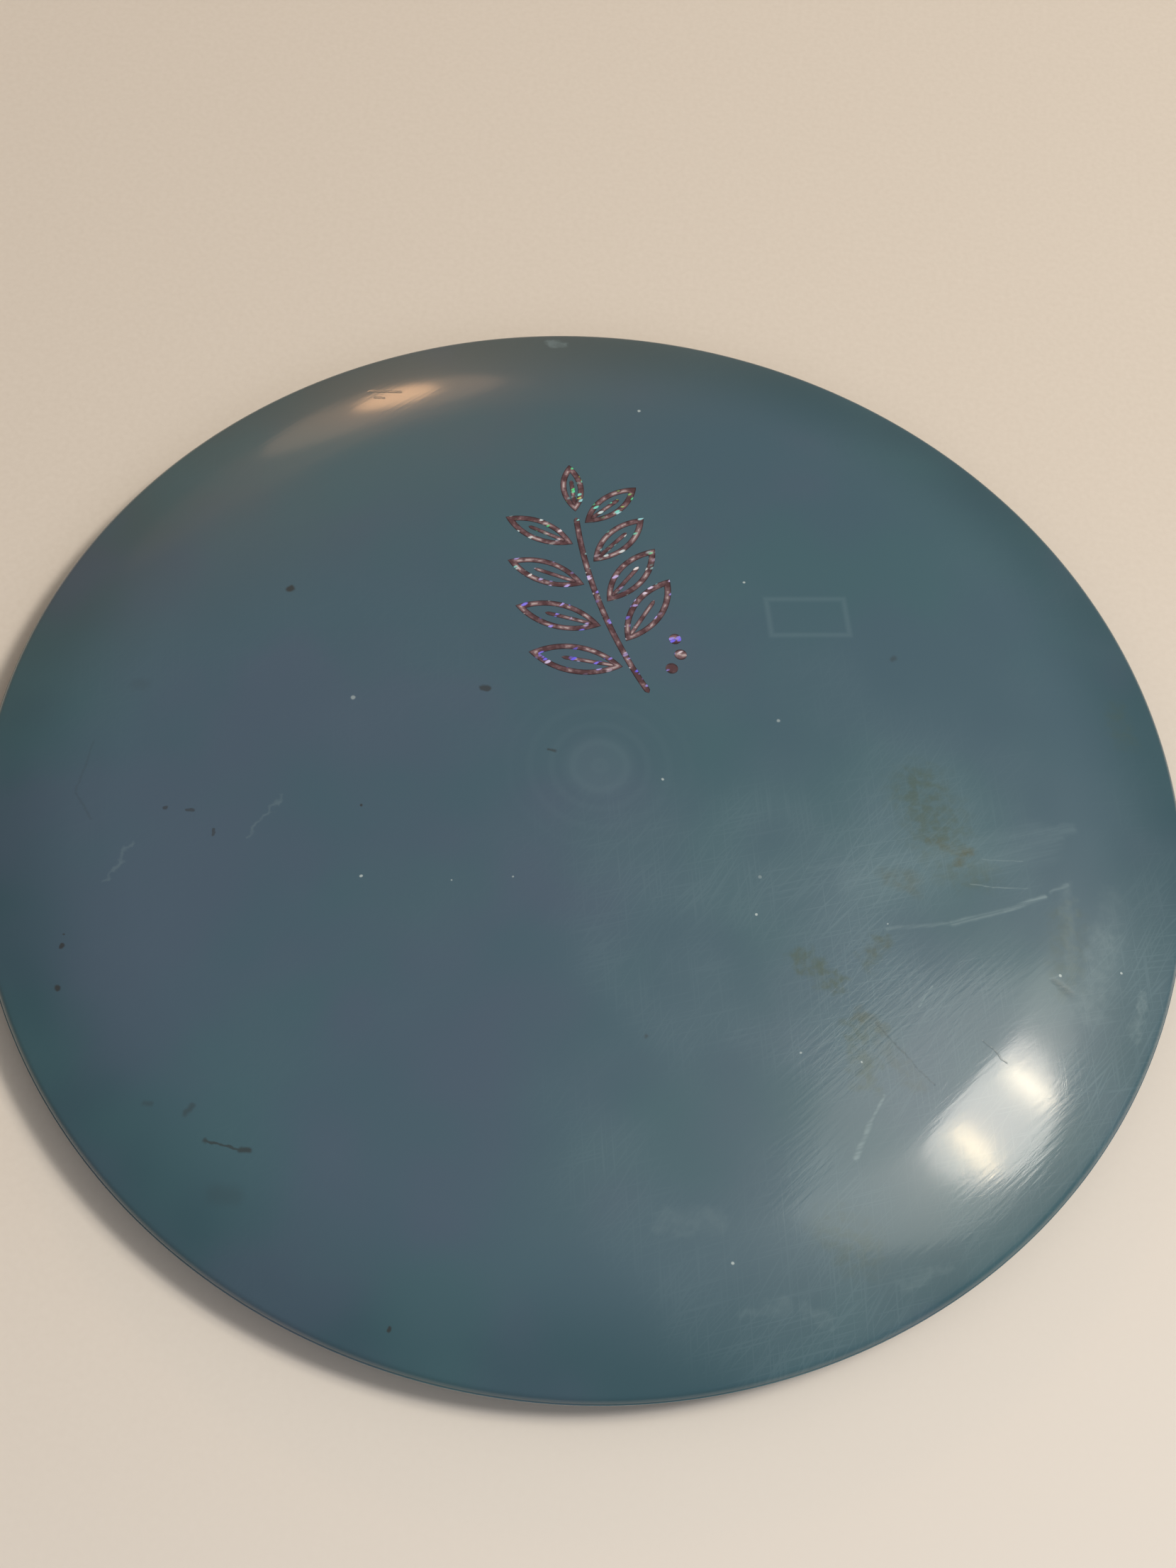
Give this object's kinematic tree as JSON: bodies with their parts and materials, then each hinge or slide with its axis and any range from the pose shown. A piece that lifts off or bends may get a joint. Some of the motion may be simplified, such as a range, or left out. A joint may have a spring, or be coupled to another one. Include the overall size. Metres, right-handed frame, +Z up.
{
  "type": "flying disc",
  "caption": "Golf driver style flying disc: low domed flight plate, sharp wide wing rim, hollow underside, and a hot-stamped foil sprig.",
  "frame": {"origin": "on the disc's axis, in the plane of the flat ring that it rests on", "axes": "+Z up along the disc's axis through the domed flight plate; +Y from the centre towards the foil sprig; +X to the right of the sprig"},
  "size_m": [0.211, 0.211, 0.0181],
  "materials": {
    "disc_plastic": "semi-gloss moulded polyurethane, dusty blue-teal, scuffed",
    "foil_film": "hot-stamped holographic film, dark rose with sparkling flecks"
  },
  "bodies": {
    "root": {"disc_body": "disc_plastic", "foil_stem": "foil_film", "foil_leaf_1": "foil_film", "foil_leaf_2": "foil_film", "foil_leaf_3": "foil_film", "foil_leaf_4": "foil_film", "foil_leaf_5": "foil_film", "foil_leaf_6": "foil_film", "foil_leaf_7": "foil_film", "foil_leaf_8": "foil_film", "foil_leaf_tip": "foil_film", "foil_berry_1": "foil_film", "foil_berry_2": "foil_film", "foil_berry_3": "foil_film"}
  },
  "joints": []
}
